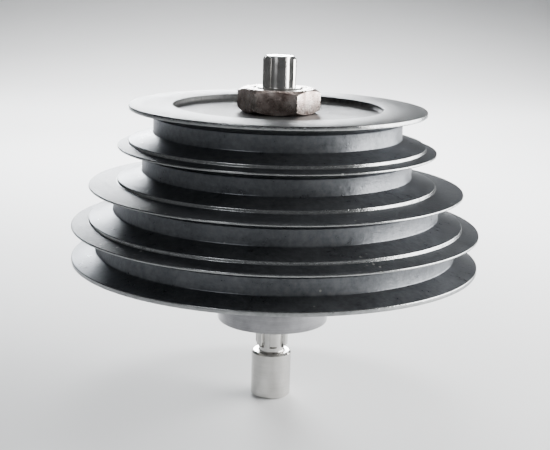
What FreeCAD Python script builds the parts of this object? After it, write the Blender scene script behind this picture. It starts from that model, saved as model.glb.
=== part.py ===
import FreeCAD, Part
import math
import os
import re

import Sketcher

# A four-step V-belt cone pulley for a bench drill's spindle, with the drive sleeve it is clamped to,
# the two shielded ball bearings that the sleeve turns in, and the upper end of the splined spindle
# that slides through it. Millimetres, +Z up, origin on the axis at the middle of the lower bearing.

DIMENSIONS = {
    # Cone pulley, steps counted from the top. A groove's mouth is its width at the rim.
    "rim_1": 61.5,
    "rim_2": 66.0,
    "rim_3": 77.75,
    "rim_4": 85.0,
    "groove_mouth": 12.8,
    "groove_floor": 6.9,
    "groove_depth": 10.0,
    "top_rim": 1.7,
    "bottom_rim": 1.8,
    "rim_land": 0.8,
    "step_drop": 1.2,
    "fall_1": 1.0,
    "fall_2": 1.5,
    "fall_3": 1.8,
    "rim_round": 0.35,
    "floor_round": 0.6,
    "wall": 5.0,
    "wall_ramp": 3.0,
    "top_land": 18.0,
    "dish_depth": 2.5,
    "dish_round": 1.6,
    "web": 7.0,
    "hub_wall": 8.0,
    "hub_length": 43.0,
    "hub_round": 3.0,
    "rib_count": 6,
    "rib_width": 4.5,
    "rib_overlap": 2.0,
    # Drive sleeve, its key and the nut that clamps the pulley.
    "seat_radius": 12.0,
    "seat_clearance": 0.02,
    "seat_relief": 1.5,
    "collar_step": 2.0,
    "collar_height": 6.0,
    "sleeve_tail": 4.0,
    "thread_step": 2.15,
    "thread_clearance": 0.05,
    "thread_proud": 0.4,
    "key_width": 5.0,
    "key_height": 5.0,
    "key_depth": 3.0,
    "key_length": 34.0,
    "key_clearance": 0.03,
    "nut_wall": 5.15,
    "nut_height": 10.0,
    "chamfer_start": 0.97,
    "nut_turn": 25.1,
    "edge_break": 0.8,
    # Splined spindle.
    "spline_radius": 7.0,
    "spline_core": 5.5,
    "spline_teeth": 6,
    "spline_width": 3.0,
    "spline_clearance": 0.06,
    "spline_turn": 37.0,
    "spindle_proud": 13.2,
    "spindle_gap": 10.0,
    "journal_radius": 8.5,
    "journal_length": 20.0,
    "neck_length": 2.0,
    "spindle_chamfer": 1.2,
    # Ball bearings, 20 x 47 x 14, and the spacers between them.
    "bearing_bore": 10.0,
    "bearing_outer": 23.5,
    "bearing_width": 14.0,
    "inner_shoulder": 2.85,
    "outer_shoulder": 3.15,
    "ball_radius": 3.969,
    "ball_count": 8,
    "race_relief": 0.161,
    "race_clearance": 0.012,
    "ring_round": 0.8,
    "shield_thickness": 0.4,
    "shield_inset": 0.6,
    "shield_bite": 0.8,
    "shield_gap": 0.35,
    "shield_clearance": 0.05,
    "cage_thickness": 0.8,
    "cage_half_width": 1.3,
    "cage_clearance": 0.06,
    "rivet_clearance": 0.025,
    "rivet_share": 0.3795192,
    "rivet_head_share": 0.6957853,
    "rivet_head_height": 0.5,
    "spacer_length": 12.0,
    "spacer_wall": 2.6,
    "outer_spacer_wall": 2.4,
    "spacer_clearance": 0.1,
    # Retaining ring on the sleeve, below the lower bearing.
    "clip_thickness": 1.2,
    "clip_depth": 0.5,
    "clip_width": 2.4,
    "clip_gap": 4.0,
    "clip_lug": 4.2,
    "clip_lug_width": 3.4,
    "clip_hole": 0.9,
    "clip_clearance": 0.05,
    # How far a cutting outline runs past the surface it cuts.
    "overcut": 1.0,
}

# Sizes that follow from the ones above, as formulas in the same sheet. Lands and shoulders of a bearing
# are measured from the circle its balls run on. A rivet and its head, 0.6 and 1.1 mm in radius here,
# are shares of the room between two ball pockets.
DERIVED = {
    "dish_radius": "rim_1 - top_land",
    "hub_radius": "seat_radius + hub_wall",
    "collar_radius": "seat_radius + collar_step",
    "thread_radius": "seat_radius - thread_step",
    "nut_flats": "2 * (thread_radius + nut_wall)",
    "clip_groove": "bearing_bore - clip_depth",
    "ball_circle": "(bearing_bore + bearing_outer) / 2",
    "inner_land": "ball_circle - inner_shoulder",
    "outer_land": "ball_circle + outer_shoulder",
    "race_radius": "ball_radius + race_relief",
    "pocket_radius": "ball_radius + cage_clearance + cage_thickness",
    "pocket_room": "ball_circle * sin(180 deg / ball_count) - pocket_radius",
    "rivet_radius": "pocket_room * rivet_share",
    "rivet_head_radius": "pocket_room * rivet_head_share",
}

STEPS = (1, 2, 3, 4)
FULL_TURN = 360
NEAR = 1e-4

doc = FreeCAD.newDocument("ConePulley")
sheet = doc.addObject("Spreadsheet::Sheet", "Dimensions")
cells = {alias: str(value) for alias, value in DIMENSIONS.items()}
cells.update({alias: "=" + formula for alias, formula in DERIVED.items()})
for row, (alias, content) in enumerate(cells.items(), start=1):
    sheet.set("A%d" % row, alias)
    sheet.set("B%d" % row, content)
    sheet.setAlias("B%d" % row, alias)
doc.recompute()

nodes = []


# ---- expressions, sketches and features ----


def bound(expression):
    """The expression with each dimension's name pointing at its cell."""

    def cell(match):
        word = match.group(0)
        return "Dimensions." + word if word in cells else word

    return re.sub(r"[a-z]\w*", cell, expression)


def number(expression):
    """The value that an expression has now."""
    return float(sheet.evalExpression(bound(expression)))


def new_body(label, base):
    """A body that becomes a node, standing at height base."""
    body = doc.addObject("PartDesign::Body", label)
    body.Label = label
    body.setExpression("Placement.Base.z", bound(base))
    nodes.append(body)
    return body


def new_sketch(body, name, plane, offset=None, turn=None):
    """A sketch on one of the body's own origin planes, moved along its normal and turned about it."""
    sketch = body.newObject("Sketcher::SketchObject", name)
    support = [item for item in body.Origin.OriginFeatures if item.Role == plane][0]
    sketch.AttachmentSupport = [(support, "")]
    sketch.MapMode = "FlatFace"
    if offset is not None:
        sketch.setExpression("AttachmentOffset.Base.z", bound(offset))
    if turn is not None:
        sketch.setExpression("AttachmentOffset.Rotation.Angle", bound("%s * 1 deg" % turn))
    return sketch


def fix(sketch, kind, reference, item, point, expression):
    """A distance from the origin, or a point kept on the axis where the expression is 0."""
    if expression == "0":
        axis = -2 if kind == "DistanceX" else -1
        sketch.addConstraint(Sketcher.Constraint("PointOnObject", item, point, axis))
        return
    value = number(expression)
    index = sketch.addConstraint(Sketcher.Constraint(kind, -1, 1, item, point, value))
    sketch.setExpression("Constraints[%d]" % index, bound(expression))


def outline(body, name, corners, plane="XZ_Plane", turn=None):
    """A closed outline of straight sides through corners, each a pair of expressions."""
    sketch = new_sketch(body, name, plane, turn=turn)
    places = [FreeCAD.Vector(number(x), number(y), 0) for x, y in corners]
    count = len(corners)
    for i in range(count):
        sketch.addGeometry(Part.LineSegment(places[i], places[(i + 1) % count]), False)
    for i in range(count):
        sketch.addConstraint(Sketcher.Constraint("Coincident", i, 2, (i + 1) % count, 1))
    for i, (x, y) in enumerate(corners):
        fix(sketch, "DistanceX", "0", i, 1, x)
        fix(sketch, "DistanceY", "0", i, 1, y)
    return sketch


def circles(body, name, rings, plane="XY_Plane"):
    """A sketch of circles, each given as radius, x and y expressions."""
    sketch = new_sketch(body, name, plane)
    for i, (radius, x, y) in enumerate(rings):
        centre = FreeCAD.Vector(number(x), number(y), 0)
        circle = Part.Circle(centre, FreeCAD.Vector(0, 0, 1), number(radius))
        sketch.addGeometry(circle, False)
        index = sketch.addConstraint(Sketcher.Constraint("Radius", i, number(radius)))
        sketch.setExpression("Constraints[%d]" % index, bound(radius))
        fix(sketch, "DistanceX", "0", i, 3, x)
        fix(sketch, "DistanceY", "0", i, 3, y)
    return sketch


def keyway_outline(body, name, half_width, low, high, offset):
    """A slot with round ends between two heights, facing +X."""
    sketch = new_sketch(body, name, "YZ_Plane", offset)
    w = number(half_width)
    bottom = number(low) + w
    top = number(high) - w
    up = FreeCAD.Vector(0, 0, 1)
    upper = Part.Circle(FreeCAD.Vector(0, top, 0), up, w)
    lower = Part.Circle(FreeCAD.Vector(0, bottom, 0), up, w)
    sketch.addGeometry(Part.LineSegment(FreeCAD.Vector(w, bottom, 0), FreeCAD.Vector(w, top, 0)))
    sketch.addGeometry(Part.ArcOfCircle(upper, 0, math.pi))
    sketch.addGeometry(Part.LineSegment(FreeCAD.Vector(-w, top, 0), FreeCAD.Vector(-w, bottom, 0)))
    sketch.addGeometry(Part.ArcOfCircle(lower, math.pi, 2 * math.pi))
    for i in range(4):
        sketch.addConstraint(Sketcher.Constraint("Tangent", i, 2, (i + 1) % 4, 1))
    index = sketch.addConstraint(Sketcher.Constraint("Radius", 1, w))
    sketch.setExpression("Constraints[%d]" % index, bound(half_width))
    fix(sketch, "DistanceX", "0", 1, 3, "0")
    fix(sketch, "DistanceY", "0", 1, 3, "%s - (%s)" % (high, half_width))
    fix(sketch, "DistanceX", "0", 3, 3, "0")
    fix(sketch, "DistanceY", "0", 3, 3, "%s + (%s)" % (low, half_width))
    return sketch


def changed(body, feature, sign):
    """Recomputes, and stops if a feature that should add or remove material did neither."""
    before = body.BaseVolume if hasattr(body, "BaseVolume") else 0.0
    doc.recompute()
    after = feature.Shape.Volume
    if not hasattr(body, "BaseVolume"):
        body.addProperty("App::PropertyFloat", "BaseVolume")
    body.BaseVolume = after
    if sign * (after - before) <= 0:
        raise RuntimeError("%s changed the volume from %.3f to %.3f" % (feature.Name, before, after))
    return feature


def revolve(body, sketch):
    """A full turn of the outline about the body's Z axis."""
    feature = body.newObject("PartDesign::Revolution", sketch.Name + "_turned")
    feature.Profile = sketch
    feature.ReferenceAxis = (sketch, ["V_Axis"])
    feature.Angle = FULL_TURN
    return changed(body, feature, +1)


def turn_away(body, sketch):
    """Cuts the outline away over a full turn about the body's Z axis."""
    feature = body.newObject("PartDesign::Groove", sketch.Name + "_cut")
    feature.Profile = sketch
    feature.ReferenceAxis = (sketch, ["V_Axis"])
    feature.Angle = FULL_TURN
    return changed(body, feature, -1)


def pad(body, sketch, length, both_ways=False):
    feature = body.newObject("PartDesign::Pad", sketch.Name + "_pad")
    feature.Profile = sketch
    feature.setExpression("Length", bound(length))
    feature.Midplane = both_ways
    return changed(body, feature, +1)


def pocket(body, sketch, length):
    """Cuts the outline away along the sketch's normal."""
    feature = body.newObject("PartDesign::Pocket", sketch.Name + "_pocket")
    feature.Profile = sketch
    feature.setExpression("Length", bound(length))
    feature.Reversed = True
    return changed(body, feature, -1)


def around(body, feature, count, sign):
    """Repeats a feature evenly about the body's Z axis."""
    pattern = body.newObject("PartDesign::PolarPattern", feature.Name + "_ring")
    pattern.Originals = [feature]
    z_axis = [item for item in body.Origin.OriginFeatures if item.Role == "Z_Axis"][0]
    pattern.Axis = (z_axis, [""])
    pattern.Angle = FULL_TURN
    pattern.setExpression("Occurrences", bound(count))
    body.Tip = pattern
    return changed(body, pattern, sign)


def circle_edges(shape, radius, height=None):
    """Names of the shape's circular edges about Z that have this radius, at one height or at any."""
    found = []
    for i, edge in enumerate(shape.Edges, start=1):
        curve = edge.Curve
        if not isinstance(curve, Part.Circle) or abs(curve.Radius - radius) > NEAR:
            continue
        if math.hypot(curve.Center.x, curve.Center.y) > NEAR:
            continue
        if height is None or abs(curve.Center.z - height) < NEAR:
            found.append("Edge%d" % i)
    return found


def soften(body, base, edges, radius, kind="Fillet"):
    """Rounds or chamfers the named edges of a feature."""
    feature = body.newObject("PartDesign::" + kind, base.Name + "_" + kind.lower())
    feature.Base = (base, edges)
    feature.setExpression("Radius" if kind == "Fillet" else "Size", bound(radius))
    body.Tip = feature
    doc.recompute()
    body.BaseVolume = feature.Shape.Volume
    return feature


# ---- heights that several pieces share, from the lower bearing's middle ----

STACK_BOTTOM = "-bearing_width / 2"
UPPER_BEARING = STACK_BOTTOM + " + bearing_width + spacer_length"
COLLAR_BOTTOM = UPPER_BEARING + " + bearing_width"
HUB_BOTTOM = COLLAR_BOTTOM + " + collar_height"
HUB_TOP = HUB_BOTTOM + " + hub_length"

# The pulley's own heights, from its bottom face. A crest is the top of a step's rim, and a mouth's
# foot is where its groove begins; each step's rim drops to the next, wider one through a sloped land.
groove_foot = {}
crest = {}
land_end = {}
level = "bottom_rim"
for step in reversed(STEPS):
    groove_foot[step] = level
    crest[step] = level + " + groove_mouth + " + ("top_rim" if step == 1 else "rim_land")
    if step > 1:
        land_end[step - 1] = crest[step] + " + fall_%d" % (step - 1)
        level = land_end[step - 1] + " + step_drop"
PULLEY_HEIGHT = crest[1]
DISH_FLOOR = PULLEY_HEIGHT + " - dish_depth"
CAVITY_TOP = DISH_FLOOR + " - web"
HUB_FOOT = DISH_FLOOR + " - hub_length"


def cone_pulley():
    body = new_body("cone_pulley", HUB_BOTTOM + " - (" + HUB_FOOT + ")")

    blank = [("0", "0"), ("rim_4", "0"), ("rim_4", crest[4])]
    for step in (3, 2, 1):
        blank += [("rim_%d" % step, land_end[step]), ("rim_%d" % step, crest[step])]
    blank.append(("0", PULLEY_HEIGHT))
    revolve(body, outline(body, "blank", blank))

    for step in STEPS:
        rim = "rim_%d" % step
        foot = groove_foot[step]
        head = foot + " + groove_mouth"
        inset = "(groove_mouth - groove_floor) / 2"
        floor = rim + " - groove_depth"
        corners = [
            (floor, foot + " + " + inset),
            (rim, foot),
            (rim + " + overcut", foot),
            (rim + " + overcut", head),
            (rim, head),
            (floor, head + " - " + inset),
        ]
        turn_away(body, outline(body, "belt_groove_%d" % step, corners))

    dish = [("0", DISH_FLOOR), ("dish_radius", DISH_FLOOR)]
    dish += [("dish_radius", PULLEY_HEIGHT + " + overcut"), ("0", PULLEY_HEIGHT + " + overcut")]
    turn_away(body, outline(body, "dish", dish))

    inside = {step: "rim_%d - groove_depth - wall" % step for step in STEPS}
    cavity = [("0", "-overcut"), (inside[4], "-overcut")]
    for step in (4, 3, 2):
        cavity.append((inside[step], crest[step] + " - wall_ramp"))
        cavity.append((inside[step - 1], crest[step] + " + wall_ramp"))
    cavity += [(inside[1], CAVITY_TOP), ("hub_radius", CAVITY_TOP)]
    cavity += [("hub_radius", HUB_FOOT), ("0", HUB_FOOT)]
    turn_away(body, outline(body, "underside", cavity))

    bore = [("0", HUB_FOOT + " - overcut"), ("seat_radius + seat_clearance", HUB_FOOT + " - overcut")]
    bore += [("seat_radius + seat_clearance", PULLEY_HEIGHT), ("0", PULLEY_HEIGHT)]
    bored = turn_away(body, outline(body, "bore", bore))

    # The hub's root and the dish's corner are rounded before the ribs break their edges.
    root = circle_edges(bored.Shape, number("hub_radius"), number(CAVITY_TOP))
    rooted = soften(body, bored, root, "hub_round")
    corner = circle_edges(rooted.Shape, number("dish_radius"), number(DISH_FLOOR))
    soften(body, rooted, corner, "dish_round")

    foot = crest[3] + " + wall_ramp + overcut"
    rib = [
        ("hub_radius - overcut", foot),
        (inside[2] + " + rib_overlap", foot),
        (inside[2] + " + rib_overlap", crest[2] + " - wall_ramp"),
        (inside[1] + " + rib_overlap", crest[2] + " + wall_ramp"),
        (inside[1] + " + rib_overlap", CAVITY_TOP + " + overcut"),
        ("hub_radius - overcut", CAVITY_TOP + " + overcut"),
    ]
    ribbed = pad(body, outline(body, "rib", rib), "rib_width", both_ways=True)
    around(body, ribbed, "rib_count", +1)

    half = "key_width / 2 + key_clearance"
    reach = "seat_radius - key_depth + key_height + key_clearance"
    slot = [("0", "-(%s)" % half), (reach, "-(%s)" % half), (reach, half), ("0", half)]
    keyed = pocket(body, outline(body, "hub_keyway", slot, "XY_Plane"), PULLEY_HEIGHT)

    rims = circle_edges(keyed.Shape, number("dish_radius"), number(PULLEY_HEIGHT))
    for step in STEPS:
        rims += circle_edges(keyed.Shape, number("rim_%d" % step))
    rounded = soften(body, keyed, sorted(set(rims)), "rim_round")
    floors = []
    for step in STEPS:
        floors += circle_edges(rounded.Shape, number("rim_%d - groove_depth" % step))
    soften(body, rounded, floors, "floor_round")


def drive_sleeve():
    body = new_body("drive_sleeve", STACK_BOTTOM + " - sleeve_tail")
    collar = "sleeve_tail + 2 * bearing_width + spacer_length"
    seat = collar + " + collar_height"
    seat_top = seat + " + hub_length - seat_relief"
    top = seat + " + hub_length + nut_height + thread_proud"
    corners = [
        ("0", "0"),
        ("bearing_bore - edge_break", "0"),
        ("bearing_bore", "edge_break"),
        ("bearing_bore", collar),
        ("collar_radius", collar),
        ("collar_radius", seat),
        ("seat_radius", seat),
        ("seat_radius", seat_top + " - edge_break"),
        ("seat_radius - edge_break", seat_top),
        ("thread_radius", seat_top),
        ("thread_radius", top + " - edge_break"),
        ("thread_radius - edge_break", top),
        ("0", top),
    ]
    revolve(body, outline(body, "sleeve_outline", corners))

    high = "sleeve_tail + clip_clearance / 2"
    low = "sleeve_tail - clip_thickness - clip_clearance"
    ring = [("clip_groove", low), ("bearing_bore + overcut", low)]
    ring += [("bearing_bore + overcut", high), ("clip_groove", high)]
    turn_away(body, outline(body, "clip_groove_outline", ring))

    bore = "spline_core + spline_clearance"
    pocket(body, circles(body, "core_bore", [(bore, "0", "0")]), top)
    half = "spline_width / 2 + spline_clearance"
    tip = "spline_radius + spline_clearance"
    slot = [("spline_core - overcut", "-(%s)" % half), (tip, "-(%s)" % half)]
    slot += [(tip, half), ("spline_core - overcut", half)]
    first = pocket(body, outline(body, "spline_slot", slot, "XY_Plane", "spline_turn"), top)
    around(body, first, "spline_teeth", -1)

    start = seat + " + (hub_length - seat_relief - key_length) / 2 - key_clearance"
    end = start + " + key_length + 2 * key_clearance"
    half = "key_width / 2 + key_clearance"
    way = keyway_outline(body, "sleeve_keyway", half, start, end, "seat_radius - key_depth")
    pocket(body, way, "key_height")


def drive_key():
    body = new_body("drive_key", HUB_BOTTOM + " + (hub_length - seat_relief - key_length) / 2")
    floor = "seat_radius - key_depth"
    pad(body, keyway_outline(body, "key_outline", "key_width / 2", "0", "key_length", floor), "key_height")


def pulley_nut():
    body = new_body("pulley_nut", HUB_TOP)
    flat = "nut_flats / 2"
    edge = "nut_flats / 2 * tan(30 deg)"
    corner = "nut_flats / 2 / cos(30 deg)"
    hexagon = [(flat, "-" + edge), (flat, edge), ("0", corner)]
    hexagon += [("-" + flat, edge), ("-" + flat, "-" + edge), ("0", "-" + corner)]
    pad(body, outline(body, "hexagon", hexagon, "XY_Plane", "nut_turn"), "nut_height")
    hole = "thread_radius + thread_clearance"
    bore = [("0", "-overcut"), (hole + " + edge_break + overcut", "-overcut"), (hole, "edge_break")]
    bore += [(hole, "nut_height - edge_break"), (hole + " + edge_break + overcut", "nut_height + overcut")]
    bore.append(("0", "nut_height + overcut"))
    turn_away(body, outline(body, "nut_bore", bore))
    # Both faces are turned to a 30 degree chamfer that starts just inside the flats, at a share of
    # the distance to them.
    inner = "nut_flats / 2 * chamfer_start"
    outer = corner + " + overcut"
    fall = "(%s - (%s)) * tan(30 deg)" % (outer, inner)
    high = [(inner, "nut_height"), (outer, "nut_height - " + fall)]
    high += [(outer, "nut_height + overcut"), (inner, "nut_height + overcut")]
    turn_away(body, outline(body, "top_chamfer", high))
    low = [(inner, "0"), (outer, fall), (outer, "-overcut"), (inner, "-overcut")]
    turn_away(body, outline(body, "bottom_chamfer", low))


def spindle():
    body = new_body("spindle", STACK_BOTTOM + " - sleeve_tail - spindle_gap - journal_length")
    neck = "journal_length + neck_length"
    length = "journal_length + spindle_gap + sleeve_tail + 2 * bearing_width + spacer_length"
    length += " + collar_height + hub_length + nut_height + spindle_proud"
    corners = [
        ("0", "0"),
        ("journal_radius - edge_break", "0"),
        ("journal_radius", "edge_break"),
        ("journal_radius", "journal_length - edge_break"),
        ("journal_radius - edge_break", "journal_length"),
        ("spline_core", "journal_length"),
        ("spline_core", length),
        ("0", length),
    ]
    revolve(body, outline(body, "core", corners))

    sketch = new_sketch(body, "spline_tooth", "XY_Plane", neck, "spline_turn")
    half = number("spline_width / 2")
    radius = number("spline_radius")
    root = number("spline_core - overcut")
    reach = math.sqrt(radius**2 - half**2)
    angle = math.atan2(half, reach)
    low_in, low_out = FreeCAD.Vector(root, -half, 0), FreeCAD.Vector(reach, -half, 0)
    high_in, high_out = FreeCAD.Vector(root, half, 0), FreeCAD.Vector(reach, half, 0)
    crown = Part.Circle(FreeCAD.Vector(0, 0, 0), FreeCAD.Vector(0, 0, 1), radius)
    sketch.addGeometry(Part.LineSegment(low_in, low_out))
    sketch.addGeometry(Part.ArcOfCircle(crown, -angle, angle))
    sketch.addGeometry(Part.LineSegment(high_out, high_in))
    sketch.addGeometry(Part.LineSegment(high_in, low_in))
    for i in range(4):
        sketch.addConstraint(Sketcher.Constraint("Coincident", i, 2, (i + 1) % 4, 1))
    sketch.addConstraint(Sketcher.Constraint("Coincident", 1, 3, -1, 1))
    index = sketch.addConstraint(Sketcher.Constraint("Radius", 1, radius))
    sketch.setExpression("Constraints[%d]" % index, bound("spline_radius"))
    for item, side in ((0, "-"), (2, "")):
        sketch.addConstraint(Sketcher.Constraint("Horizontal", item))
        fix(sketch, "DistanceY", "0", item, 1, side + "spline_width / 2")
    sketch.addConstraint(Sketcher.Constraint("Vertical", 3))
    fix(sketch, "DistanceX", "0", 3, 1, "spline_core - overcut")
    tooth = pad(body, sketch, "%s - (%s)" % (length, neck))
    around(body, tooth, "spline_teeth", +1)

    # The tooth ends and the tip are chamfered together.
    far = "spline_radius + overcut"
    near = "spline_radius - spindle_chamfer"
    rise = "spindle_chamfer + overcut"
    tip = [(near, length), (far, "%s - (%s)" % (length, rise))]
    tip += [(far, length + " + overcut"), (near, length + " + overcut")]
    turn_away(body, outline(body, "tip_chamfer", tip))
    foot = [(near, neck), (far, "%s + (%s)" % (neck, rise)), (far, neck)]
    turn_away(body, outline(body, "foot_chamfer", foot))


def spacers():
    for label, inner, outer in (
        ("inner_spacer", "bearing_bore", "bearing_bore + spacer_wall"),
        ("outer_spacer", "bearing_outer - outer_spacer_wall", "bearing_outer - spacer_clearance"),
    ):
        body = new_body(label, STACK_BOTTOM + " + bearing_width")
        rim = "edge_break / 2"
        corners = [
            (inner, "0"),
            ("%s - %s" % (outer, rim), "0"),
            (outer, rim),
            (outer, "spacer_length - " + rim),
            ("%s - %s" % (outer, rim), "spacer_length"),
            (inner, "spacer_length"),
        ]
        revolve(body, outline(body, label + "_outline", corners))


def retaining_ring():
    body = new_body("retaining_ring", STACK_BOTTOM + " - clip_thickness")
    inner = "clip_groove + clip_clearance"
    ring = [(inner, "0", "0"), (inner + " + clip_width", "0", "0")]
    pad(body, circles(body, "clip_ring", ring), "clip_thickness")
    outer = inner + " + clip_lug"
    side = "clip_gap / 2 + clip_lug_width"
    lug = [(inner + " + clip_clearance", "-(%s)" % side), (outer, "-(%s)" % side)]
    lug += [(outer, side), (inner + " + clip_clearance", side)]
    pad(body, outline(body, "clip_lugs", lug, "XY_Plane"), "clip_thickness")
    gap = [("0", "-clip_gap / 2"), (outer + " + overcut", "-clip_gap / 2")]
    gap += [(outer + " + overcut", "clip_gap / 2"), ("0", "clip_gap / 2")]
    pocket(body, outline(body, "clip_opening", gap, "XY_Plane"), "clip_thickness")
    place = inner + " + clip_lug - 1.9 * clip_hole"
    across = "clip_gap / 2 + clip_lug_width / 2"
    holes = [("clip_hole", place, across), ("clip_hole", place, "-(%s)" % across)]
    pocket(body, circles(body, "plier_holes", holes), "clip_thickness")


def bearing_ring(label, base, inner, outer, race_centre):
    """One turned ring with its raceway."""
    body = new_body(label, base)
    corners = [(inner, "0"), (outer, "0"), (outer, "bearing_width"), (inner, "bearing_width")]
    revolve(body, outline(body, label + "_outline", corners))
    race = [("race_radius", race_centre, "bearing_width / 2")]
    return body, turn_away(body, circles(body, label + "_race", race, "XZ_Plane"))


def inner_ring(prefix, base):
    centre = "ball_circle - (ball_radius - race_radius + race_clearance)"
    label = prefix + "_inner_ring"
    body, raced = bearing_ring(label, base, "bearing_bore", "inner_land", centre)
    soften(body, raced, circle_edges(raced.Shape, number("bearing_bore")), "ring_round")


def outer_ring(prefix, base):
    """The outer ring, with a seat for a shield near each face."""
    centre = "ball_circle + ball_radius - race_radius + race_clearance"
    label = prefix + "_outer_ring"
    body, cut = bearing_ring(label, base, "outer_land", "bearing_outer", centre)
    near = "outer_land - overcut"
    reach = "outer_land + shield_bite + shield_clearance"
    bottom = "shield_inset - shield_clearance"
    top = "shield_inset + shield_thickness + shield_clearance"
    for end, low, high in (
        ("low", bottom, top),
        ("high", "bearing_width - (%s)" % top, "bearing_width - (%s)" % bottom),
    ):
        seat = [(near, low), (reach, low), (reach, high), (near, high)]
        cut = turn_away(body, outline(body, label + "_shield_seat_" + end, seat))
    soften(body, cut, circle_edges(cut.Shape, number("bearing_outer")), "ring_round")


def balls(prefix, middle):
    items = []
    for i in range(DIMENSIONS["ball_count"]):
        ball = doc.addObject("Part::Sphere", "%s_ball_%d" % (prefix, i + 1))
        ball.setExpression("Radius", bound("ball_radius"))
        angle = "%d * 360 deg / ball_count" % i
        ball.setExpression("Placement.Base.x", bound("ball_circle * cos(%s)" % angle))
        ball.setExpression("Placement.Base.y", bound("ball_circle * sin(%s)" % angle))
        items.append(ball)
    group = doc.addObject("Part::Compound", prefix + "_balls")
    group.Label = prefix + "_balls"
    group.Links = items
    group.setExpression("Placement.Base.z", bound(middle))
    nodes.append(group)


def tube(name, inner, outer, low, height):
    """A ring of rectangular section made of two cylinders."""
    parts = []
    for suffix, radius in (("outside", outer), ("inside", inner)):
        cylinder = doc.addObject("Part::Cylinder", "%s_%s" % (name, suffix))
        cylinder.setExpression("Radius", bound(radius))
        cylinder.setExpression("Height", bound(height))
        cylinder.setExpression("Placement.Base.z", bound(low))
        parts.append(cylinder)
    ring = doc.addObject("Part::Cut", name)
    ring.Base, ring.Tool = parts
    return ring


def cage_half(prefix, half, middle):
    """One pressed half of the ball cage: a flat ring with a round pocket over each ball."""
    name = "%s_cage_%s" % (prefix, half)
    inner = "ball_circle - cage_half_width"
    outer = "ball_circle + cage_half_width"
    strip_low = "0" if half == "top" else "-cage_thickness"
    strip = tube(name + "_strip", inner, outer, strip_low, "cage_thickness")
    band_low = "0" if half == "top" else "-pocket_radius"
    band = tube(name + "_band", inner, outer, band_low, "pocket_radius")
    pockets, hollows = [], []
    for i in range(DIMENSIONS["ball_count"]):
        angle = "%d * 360 deg / ball_count" % i
        for group, kind, radius in (
            (pockets, "pocket", "pocket_radius"),
            (hollows, "hollow", "ball_radius + cage_clearance"),
        ):
            sphere = doc.addObject("Part::Sphere", "%s_%s_%d" % (name, kind, i + 1))
            sphere.setExpression("Radius", bound(radius))
            sphere.setExpression("Placement.Base.x", bound("ball_circle * cos(%s)" % angle))
            sphere.setExpression("Placement.Base.y", bound("ball_circle * sin(%s)" % angle))
            group.append(sphere)
    shells = doc.addObject("Part::MultiFuse", name + "_shells")
    shells.Shapes = pockets
    caps = doc.addObject("Part::Common", name + "_caps")
    caps.Base, caps.Tool = shells, band
    pressed = doc.addObject("Part::Fuse", name + "_pressed")
    pressed.Base, pressed.Tool = strip, caps
    room = doc.addObject("Part::MultiFuse", name + "_room")
    room.Shapes = hollows
    drilled = doc.addObject("Part::Cut", name + "_pocketed")
    drilled.Base, drilled.Tool = pressed, room
    holes = rivet_shapes(name + "_hole", "rivet_radius + rivet_clearance", plain=True)
    final = doc.addObject("Part::Cut", name)
    final.Base, final.Tool = drilled, holes
    final.Label = name
    final.setExpression("Placement.Base.z", bound(middle))
    nodes.append(final)


def rivet_shapes(name, radius, plain=False):
    """A rivet between each two balls, or only its shank, as a compound about the cage's middle."""
    items = []
    for i in range(DIMENSIONS["ball_count"]):
        angle = "(%d + 0.5) * 360 deg / ball_count" % i
        pieces = [(radius, "-cage_thickness", "2 * cage_thickness")]
        if not plain:
            pieces.append(("rivet_head_radius", "cage_thickness", "rivet_head_height"))
            pieces.append(("rivet_head_radius", "-cage_thickness - rivet_head_height", "rivet_head_height"))
        cylinders = []
        for j, (size, low, height) in enumerate(pieces):
            cylinder = doc.addObject("Part::Cylinder", "%s_%d_%d" % (name, i + 1, j + 1))
            cylinder.setExpression("Radius", bound(size))
            cylinder.setExpression("Height", bound(height))
            cylinder.setExpression("Placement.Base.x", bound("ball_circle * cos(%s)" % angle))
            cylinder.setExpression("Placement.Base.y", bound("ball_circle * sin(%s)" % angle))
            cylinder.setExpression("Placement.Base.z", bound(low))
            cylinders.append(cylinder)
        if plain:
            items += cylinders
        else:
            rivet = doc.addObject("Part::MultiFuse", "%s_%d" % (name, i + 1))
            rivet.Shapes = cylinders
            items.append(rivet)
    group = doc.addObject("Part::Compound", name + "s")
    group.Links = items
    return group


def shield(label, base, outside_down):
    """A pressed steel shield, held in the outer ring and clear of the inner one."""
    body = new_body(label, base)
    inner = "inner_land + shield_gap"
    outer = "outer_land + shield_bite"
    face = "shield_inset"
    back = "shield_inset + shield_thickness"
    lip = "shield_inset + 3 * shield_thickness"
    if not outside_down:
        face, back, lip = ["bearing_width - (%s)" % item for item in (face, back, lip)]
    corners = [
        (inner, face),
        (outer, face),
        (outer, back),
        (inner + " + shield_thickness", back),
        (inner + " + shield_thickness", lip),
        (inner, lip),
    ]
    revolve(body, outline(body, label + "_outline", corners))


def bearing(prefix, base):
    middle = base + " + bearing_width / 2"
    outer_ring(prefix, base)
    inner_ring(prefix, base)
    balls(prefix, middle)
    cage_half(prefix, "top", middle)
    cage_half(prefix, "bottom", middle)
    rivets = rivet_shapes(prefix + "_cage_rivet", "rivet_radius")
    rivets.Label = prefix + "_cage_rivets"
    rivets.setExpression("Placement.Base.z", bound(middle))
    nodes.append(rivets)
    shield(prefix + "_bottom_shield", base, True)
    shield(prefix + "_top_shield", base, False)


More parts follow.
